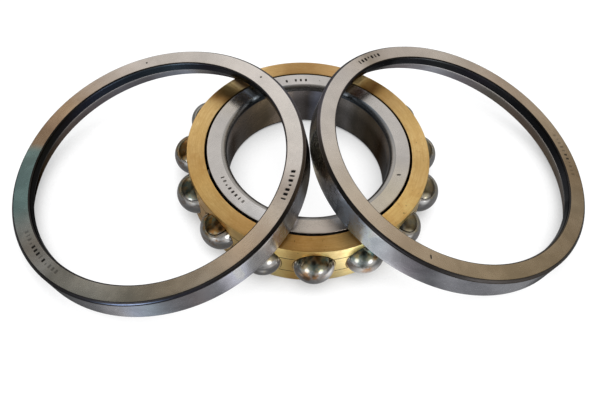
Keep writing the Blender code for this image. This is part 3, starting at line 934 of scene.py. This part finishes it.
def inner_profile():
    face_r = SHOULDER_R - INNER_EDGE
    edge_z = HALF_WIDTH - INNER_EDGE
    edge = (INNER_EDGE, INNER_EDGE)
    groove_centre = PITCH_R - BALL_R - BALL_GAP + GROOVE_R
    reach = math.degrees(math.acos((groove_centre - SHOULDER_R) / GROOVE_R))
    groove_top = GROOVE_R * math.sin(math.radians(180 - reach))

    outline = Profile()
    outline.to(face_r, HALF_WIDTH, "face_inner")
    outline.arc((face_r, edge_z), edge, (90, 0), 6, "face_inner")
    outline.to(SHOULDER_R, groove_top + 0.15, "od")
    groove_ends = (180 - reach + 0.6, 180 + reach - 0.6)
    outline.arc((groove_centre, 0.0), (GROOVE_R, GROOVE_R), groove_ends, 40, "race")
    outline.to(SHOULDER_R, -groove_top - 0.15, "race")
    outline.to(SHOULDER_R, -edge_z, "od")
    outline.arc((face_r, -edge_z), edge, (0, -90), 6, "face_inner")
    outline.to(BORE_R + BORE_CORNER_R, -HALF_WIDTH, "face_inner", step=2.0)
    bore_corner(outline, -1, range(1, BORE_CORNER_STEPS + 1))
    outline.to(BORE_R, HALF_WIDTH - BORE_CORNER_Z, "bore", step=3.0)
    bore_corner(outline, 1, range(BORE_CORNER_STEPS - 1, -1, -1))
    # the upper face, finely divided across the marks
    outline.to(66.3, HALF_WIDTH, "face_inner", step=1.2)
    outline.to(70.5, HALF_WIDTH, "face_inner", step=0.17)
    outline.to(face_r, HALF_WIDTH, "face_inner", step=1.2)
    return outline.close()


upright = Matrix.Translation(AXIS)
inner = turned(
    "inner_ring_finish", inner_profile(), ring_angles(INNER_MARKS), INNER_MARKS, HALF_WIDTH
)
place(inner, upright, "inner_ring", "inner_ring")

# ------------------------------------------------------------------ outer halves
RIM_R = OUTSIDE_R - 0.15
RIM_FACE_R = RIM_R - 2.1  # where the marked face ends and the bevel to the outside begins
RIM_EDGE = 0.5  # radius of the edges of the outside
MOUTH_R = 1.4  # the rounded mouth of the land, across and along the axis
MOUTH_Z = 1.75
MOUTH_START = -1.9
CONTACT_ANGLE = 35.0  # degrees; sets how far the groove's centre lies past the split


def half_profile(side):
    """From the marked face at height 0 down to the split face at -HALF_WIDTH."""
    zones = (f"{zone}_{side}" for zone in ("face", "od", "race", "land", "edge", "oxide"))
    face, outside, race, land, rim, oxide = zones
    edge = (RIM_EDGE, RIM_EDGE)
    split_r = PITCH_R + BALL_R + BALL_GAP
    shift = (GROOVE_R - BALL_R) * math.sin(math.radians(CONTACT_ANGLE))
    groove = (split_r - math.sqrt(GROOVE_R**2 - shift**2), -HALF_WIDTH - shift)
    start = math.degrees(math.asin(shift / GROOVE_R))
    end = math.degrees(math.acos((LAND_R - groove[0]) / GROOVE_R))
    land_end = groove[1] + GROOVE_R * math.sin(math.radians(end))

    outline = Profile()
    # bevelled rim, with a thin strip in the bevel that carries a painted glint line
    outline.to(RIM_FACE_R, 0.0, face)
    outline.arc((RIM_FACE_R, -0.35), (0.5, 0.35), (90, 40), 4, oxide)
    outline.to(RIM_R - 0.98, -1.04, oxide)
    # the strip for the painted glint line
    outline.to(RIM_R - 0.52, -1.56, rim)
    outline.to(RIM_R - 0.35, -1.75, oxide)
    outline.arc((RIM_R - RIM_EDGE, -2.1), edge, (40, 0), 4, oxide)
    # outside and split face
    outline.to(RIM_R, -HALF_WIDTH + RIM_EDGE, outside, step=2.5)
    outline.arc((RIM_R - RIM_EDGE, -HALF_WIDTH + RIM_EDGE), edge, (0, -90), 6, oxide)
    outline.to(split_r + 0.25, -HALF_WIDTH, outside, step=2.5)
    outline.to(split_r, -HALF_WIDTH + 0.25, oxide)
    # raceway and land
    outline.arc(groove, (GROOVE_R, GROOVE_R), (start + 0.9, end - 0.9), 26, race)
    outline.to(LAND_R, land_end + 0.3, land)
    outline.to(LAND_R, MOUTH_START, land, step=1.2)
    mouth = (LAND_R + MOUTH_R, MOUTH_START)
    outline.arc(mouth, (MOUTH_R, MOUTH_Z), (180, 138), 6, land)
    outline.arc(mouth, (MOUTH_R, MOUTH_Z), (132, 100), 5, oxide)
    outline.arc((LAND_R + 1.3, -0.25), (0.25, 0.25), (110, 90), 3, oxide)
    # marked face, finely divided across the marks
    outline.to(96.9, 0.0, face, step=1.2)
    outline.to(102.6, 0.0, face, step=0.19)
    outline.to(RIM_FACE_R, 0.0, face, step=1.2)
    return outline.close()


def outer_half(side, marks):
    """A half of the outer ring, with its own Z turned onto the axis of its joint."""
    joint = joints[f"outer_half_{side}_spin"]
    axis = Vector(joint["axis"]).normalized()
    heading = Matrix.Rotation(math.atan2(axis.y, axis.x), 4, "Z")
    tilt = Matrix.Rotation(math.acos(axis.z), 4, "Y")
    matrix = Matrix.Translation(Vector(joint["pos_m"])) @ heading @ tilt
    name = f"outer_half_{side}"
    piece = turned(name + "_finish", half_profile(side), ring_angles(marks), marks)
    place(piece, matrix, name, name)


outer_half("left", LEFT_MARKS)
outer_half("right", RIGHT_MARKS)

# ------------------------------------------------------------------ cage
CAGE_EDGE = 0.35  # radius of the edges
CAGE_GROOVE_Z = 8.0  # height of the two thin grooves round the outside
CAGE_GROOVE_DEPTH = 0.45
DRILL_SIDES = 72


def cage_profile():
    edge = (CAGE_EDGE, CAGE_EDGE)
    edge_z = CAGE_HALF_HEIGHT - CAGE_EDGE
    outer_r, inner_r = CAGE_OUT_R - CAGE_EDGE, CAGE_IN_R + CAGE_EDGE
    outline = Profile()
    outline.to(outer_r, CAGE_HALF_HEIGHT, "brass_face")
    outline.arc((outer_r, edge_z), edge, (90, 0), 5, "brass_od")
    for middle in (CAGE_GROOVE_Z, -CAGE_GROOVE_Z):
        outline.to(CAGE_OUT_R, middle + 0.34, "brass_od", step=3.0)
        outline.to(CAGE_OUT_R - CAGE_GROOVE_DEPTH, middle + 0.12, "brass_groove")
        outline.to(CAGE_OUT_R - CAGE_GROOVE_DEPTH, middle - 0.12, "brass_groove")
        outline.to(CAGE_OUT_R, middle - 0.34, "brass_groove")
    outline.to(CAGE_OUT_R, -edge_z, "brass_od", step=3.0)
    outline.arc((outer_r, -edge_z), edge, (0, -90), 5, "brass_od")
    outline.to(inner_r, -CAGE_HALF_HEIGHT, "brass_face", step=3.0)
    outline.arc((inner_r, -edge_z), edge, (-90, -180), 5, "brass_face")
    outline.to(CAGE_IN_R, edge_z, "brass_pocket", step=3.0)
    outline.arc((inner_r, edge_z), edge, (180, 90), 5, "brass_face")
    outline.to(outer_r, CAGE_HALF_HEIGHT, "brass_face", step=3.0)
    return outline.close()


def drills(name, start, end, start_radius, end_radius, zone):
    """Radial cutters, one for each ball, between two distances from the axis."""
    mesh = bpy.data.meshes.new(name)
    bm = bmesh.new()
    for centre in BALL_CENTRES.values():
        offset = centre - AXIS
        angle = math.atan2(offset.y, offset.x)
        middle = Vector((math.cos(angle), math.sin(angle), 0.0)) * ((start + end) / 2 * MM)
        aim = Matrix.Rotation(angle, 4, "Z") @ Matrix.Rotation(math.pi / 2, 4, "Y")
        bmesh.ops.create_cone(
            bm, cap_ends=True, segments=DRILL_SIDES, radius1=start_radius * MM,
            radius2=end_radius * MM, depth=(end - start) * MM,
            matrix=Matrix.Translation(middle) @ aim,
        )
    bm.to_mesh(mesh)
    bm.free()
    cutter = link_object(name, mesh)
    mesh.materials.append(MATERIALS[zone])
    return cutter


def drill_cage(cage):
    """Cuts the ball pockets and their narrower, flared mouths."""
    cutters = [
        drills("cut_pocket", CAGE_IN_R - 1.9, 87.3, 15.4, 15.4, "brass_pocket"),
        drills("cut_mouth", 80.0, CAGE_OUT_R, 15.15, 15.15, "brass_lip"),
        drills("cut_lead", 88.2, 90.4, 14.70, 16.25, "brass_lip"),
    ]
    for cutter in cutters:
        cut = cage.modifiers.new(cutter.name, "BOOLEAN")
        cut.operation = "DIFFERENCE"
        cut.solver = "EXACT"
        cut.object = cutter
        cut.material_mode = "TRANSFER"
    bpy.context.view_layer.update()
    depsgraph = bpy.context.evaluated_depsgraph_get()
    drilled = bpy.data.meshes.new_from_object(
        cage.evaluated_get(depsgraph), preserve_all_data_layers=True, depsgraph=depsgraph
    )
    cage.modifiers.clear()
    cage.data = drilled
    for cutter in cutters:
        bpy.data.objects.remove(cutter, do_unlink=True)


def clean_cuts(mesh):
    """Folds away the slivers under two micrometres that the cuts leave."""
    bm = bmesh.new()
    bm.from_mesh(mesh)
    bmesh.ops.triangulate(bm, faces=bm.faces[:])
    bmesh.ops.dissolve_degenerate(bm, dist=2e-6, edges=bm.edges[:])
    bmesh.ops.triangulate(bm, faces=bm.faces[:])
    bm.to_mesh(mesh)
    bm.free()
    mesh.shade_smooth()
    mesh.set_sharp_from_angle(angle=SHARP_EDGE)


cage = turned("ball_cage_finish", cage_profile(), list(np.arange(0, 360, CAGE_STEP)))
cage.data.materials.append(MATERIALS["brass_lip"])
drill_cage(cage)
clean_cuts(cage.data)
place(cage, upright, "cage", "ball_cage")

# ------------------------------------------------------------------ balls
BALL_DIVISIONS = 40  # along each edge of the cube it is made from
BAND_DEPTH = 0.004
BANDS = ((-0.12, 0.05), (0.2, 0.04))  # running bands: shift along the band axis, width
BAND_AXIS = Vector((0.35, 0.2, 0.91)).normalized()
UPWARD = Vector((0.0, 0.30, 0.954))  # up, leaning away from the camera


def ball_mesh(name):
    """A cube pushed out to a sphere, so its faces are nearly equal, with faint running bands."""
    bm = bmesh.new()
    bmesh.ops.create_cube(bm, size=2.0)
    bmesh.ops.subdivide_edges(
        bm, edges=bm.edges[:], cuts=BALL_DIVISIONS - 1, use_grid_fill=True
    )
    for vert in bm.verts:
        way = Vector([math.tan(c * math.pi / 4) for c in vert.co]).normalized()
        along = way.dot(BAND_AXIS)
        band = sum(math.exp(-(((along + shift) / width) ** 2)) for shift, width in BANDS)
        vert.co = way * (BALL_R - BAND_DEPTH * band) * MM
    mesh = bpy.data.meshes.new(name)
    bm.to_mesh(mesh)
    bm.free()
    mesh.shade_smooth()
    return mesh


def stain_and_reflection_depth(direction, stains):
    """The strongest stain, painted reflections included, in this direction, fading out past its
    half angle.
    """
    depth = 0.0
    for middle, half_angle, strength in stains:
        away = math.degrees(direction.angle(Vector(middle))) / half_angle
        depth = max(depth, strength * min(1.0, max(0.0, (1.6 - away) / 1.3)))
    return depth


def ball(index, name):
    number = index + 1
    mesh = ball_mesh(name + "_finish")
    mesh.materials.append(ball_steel(name + "_steel", number))
    piece = link_object(name + "_finish", mesh)
    turn = Matrix.Rotation(1.7 * index, 4, "Z") @ Matrix.Rotation(0.9 * index, 4, "X")
    outward = BALL_CENTRES[name] - AXIS
    outward.z = 0.0
    inward = -outward.normalized()
    # where each point lies with the bearing at rest
    directions = [(turn @ vert.co).normalized() for vert in mesh.vertices]
    amber, teal = AMBER_STAINS.get(number, ()), TEAL_STAINS_AND_VIEWER_REFLECTION.get(number, ())
    for key, values in (
        ("top", [way.dot(UPWARD) for way in directions]),
        ("inward", [way.dot(inward) for way in directions]),
        ("amber", [stain_and_reflection_depth(way, amber) for way in directions]),
        ("teal", [stain_and_reflection_depth(way, teal) for way in directions]),
    ):
        mesh.attributes.new(key, "FLOAT", "POINT").data.foreach_set("value", values)
    matrix = Matrix.Translation(BALL_CENTRES[name]) @ turn
    place(piece, matrix, name, name)


for index, name in enumerate(BALLS):
    ball(index, name)

# ------------------------------------------------------------------ floor
# painted glints standing in for two soft lamps low on the viewer's side, seen only in reflections:
# direction, strength
GLINTS = [((-0.46, -0.88, 0.06), 3.0), ((0.60, -0.79, 0.06), 3.4)]
# painted pools of light on the paper, seen only in reflections: x, y, radius (mm), strength
POOLS = (
    (24, -125, 15, 0.60), (54, -90, 20, 1.9), (-20, -103, 7, 0.8), (-104, -147, 22, 0.35),
    (-10, -133, 12, 0.40), (102, -127, 13, 0.26), (168, -84, 18, 0.16),
)


def glints(graph, direction):
    total = 0.0
    for towards, strength in GLINTS:
        core = graph.spot(direction, towards, inner=0.0, outer=15.0) * strength
        halo = graph.spot(direction, towards, inner=3.0, outer=40.0) * 0.85
        total = total + (core + halo)
    return total


def floor_paper():
    """Paper that shows its own glow to the camera and to reflections, with painted shade near the
    pieces and painted pools and glints in reflections.
    """
    material, graph, shader = principled("floor_paper")
    path = graph.node("ShaderNodeLightPath")
    seen, glossy, bounces = graph.pick(path, "Is Camera Ray", "Is Glossy Ray", "Glossy Depth")
    geometry = graph.node("ShaderNodeNewGeometry")
    incoming, position = graph.pick(geometry, "Incoming", "Position")
    toward = [part * -1.0 for part in graph.split(incoming)]
    x, y, _ = graph.split(position)
    pool = 0.16
    for pool_x, pool_y, radius, strength in POOLS:
        away_x = x - pool_x * MM
        away_y = y - pool_y * MM
        squared = away_x * away_x + away_y * away_y
        pool = pool + (squared / -((radius * MM) ** 2)).math("EXPONENT") * strength
    pool = pool + glints(graph, toward)
    # painted glow, brighter still to light that has already met another metal surface
    pool = pool + bounces.math("GREATER_THAN", 1.5) * 0.45
    color = graph.mix(glossy, (0.50, 0.50, 0.515), (0.13, 0.13, 0.135))
    color = graph.mix(seen, color, (0.20, 0.20, 0.202))
    # painted contact shade: the glow the camera sees dims where the pieces are near
    near = graph.add(
        "ShaderNodeAmbientOcclusion", {"Distance": 0.042}, output="AO", samples=6
    )
    shade = near.remap(0.0, 0.66, 0.04, 1.0, smooth=False)
    graph.set(shader, {
        "Base Color": color,
        "Roughness": 0.9,
        "Specular IOR Level": 0.0,
        "Emission Color": (1.0, 1.0, 1.0, 1.0),
        "Emission Strength": glossy * pool + seen * (shade * 0.87),
    })
    return material


def build_floor():
    bm = bmesh.new()
    bmesh.ops.create_grid(bm, x_segments=1, y_segments=1, size=6.0)
    mesh = bpy.data.meshes.new("floor")
    bm.to_mesh(mesh)
    bm.free()
    floor = link_object("floor", mesh)
    floor.location = (0, 0, -0.0002)
    mesh.materials.append(floor_paper())


build_floor()

# ------------------------------------------------------------------ world
# colour of the surroundings from -X (0) to +X (1)
WALL = [
    (0.000, (0.22, 0.22, 0.21)),
    (0.065, (0.26, 0.26, 0.24)),
    (0.105, (0.42, 0.33, 0.25)),
    (0.150, (0.86, 0.78, 0.70)),
    (0.225, (1.05, 1.02, 0.98)),
    (0.500, (0.88, 0.87, 0.85)),
    (0.710, (0.82, 0.79, 0.75)),
    (0.800, (0.74, 0.66, 0.54)),
    (0.850, (0.46, 0.39, 0.30)),
    (0.890, (0.34, 0.29, 0.21)),
    (1.000, (0.30, 0.26, 0.19)),
]
# brightness from the horizon (0) to straight up (1)
RISE = [
    (0.0, 0.30), (0.12, 0.42), (0.32, 0.85), (0.55, 1.0), (0.79, 1.0), (0.86, 0.55),
    (0.94, 0.34), (1.0, 0.26),
]


def build_world():
    """Plain to the camera and to diffuse light; reflections see the studio."""
    world = bpy.data.worlds.new("studio")
    scene.world = world
    world.use_nodes = True
    world.cycles.sampling_method = "NONE"
    graph = Graph(world.node_tree)
    path = graph.node("ShaderNodeLightPath")
    seen, glossy = graph.pick(path, "Is Camera Ray", "Is Glossy Ray")
    x, y, z = graph.split(graph.add("ShaderNodeTexCoord", output="Generated"))
    flat = (x * x + y * y).math("SQRT")
    sideways = x / flat.math("MAXIMUM", 0.001)
    wall = graph.ramp(sideways * 0.5 + 0.5, WALL)
    room = graph.multiply(wall, graph.ramp(z.math("MAXIMUM", 0.0), RISE))
    # darker on the viewer's side, and darkest round the viewer
    room = graph.multiply(room, graph.grey(y.remap(-0.50, 0.05, 0.36, 1.0)))
    viewer = graph.spot((x, y, z), (0.0, -0.60, 0.80), inner=3.0, outer=17.0) * 0.82
    room = graph.multiply(room, graph.grey(1.0 - viewer))
    room = graph.mix(1.0, room, graph.grey(glints(graph, (x, y, z))), "ADD")
    color = graph.mix(glossy, (0.80, 0.81, 0.82), room)
    color = graph.mix(seen, color, (0.97, 0.97, 0.97))
    graph.set(world.node_tree.nodes["Background"], {"Color": color, "Strength": 1.0})


build_world()


# ------------------------------------------------------------------ lights
def area(name, at, target, size, power, color=(1, 1, 1)):
    light = bpy.data.lights.new(name, "AREA")
    light.energy = power
    light.color = color
    light.shape = "RECTANGLE"
    light.size = size
    light.size_y = size
    lamp = link_object(name, light)
    lamp.location = at
    aim = Vector(target) - Vector(at)
    lamp.rotation_euler = aim.to_track_quat("-Z", "Y").to_euler()
    lamp.visible_glossy = False


area(
    "softbox_left", at=(-1.15, -0.85, 0.16), target=(0, 0, 0.02), size=0.30, power=5.0,
    color=(1.0, 0.99, 0.97),
)
area(
    "softbox_right", at=(0.85, -1.15, 0.20), target=(0, 0, 0.02), size=0.30, power=5.0,
    color=(0.97, 0.99, 1.0),
)
area("overhead", at=(0.05, -0.25, 1.25), target=(0, 0, 0), size=0.7, power=9.0)

# ------------------------------------------------------------------ camera
CAMERA_DISTANCE = 0.51536  # from the point on the floor under the bearing's centre
CAMERA_ELEVATION = math.radians(53.272)
# small turns about the camera's own axes, in this order
CAMERA_TURNS = (("Y", 0.307), ("X", -1.848), ("Z", 5.9))


def build_camera():
    across = math.cos(CAMERA_ELEVATION)
    rise = math.sin(CAMERA_ELEVATION)
    offset = Vector((0.0, -CAMERA_DISTANCE * across, CAMERA_DISTANCE * rise))
    forward = -offset.normalized()
    right = Vector((1, 0, 0))
    rotation = Matrix((right, right.cross(forward), -forward)).transposed()
    for axis, degrees in CAMERA_TURNS:
        rotation = rotation @ Matrix.Rotation(math.radians(degrees), 3, axis)
    lens = bpy.data.cameras.new("camera")
    lens.sensor_fit = "HORIZONTAL"
    lens.sensor_width = 36.0
    lens.lens = 39.35568
    lens.clip_start = 0.01
    camera = link_object("camera", lens)
    place_at = Vector((AXIS.x, AXIS.y, 0.0)) + offset
    camera.matrix_world = Matrix.Translation(place_at) @ rotation.to_4x4()
    scene.camera = camera


build_camera()
bpy.context.view_layer.update()
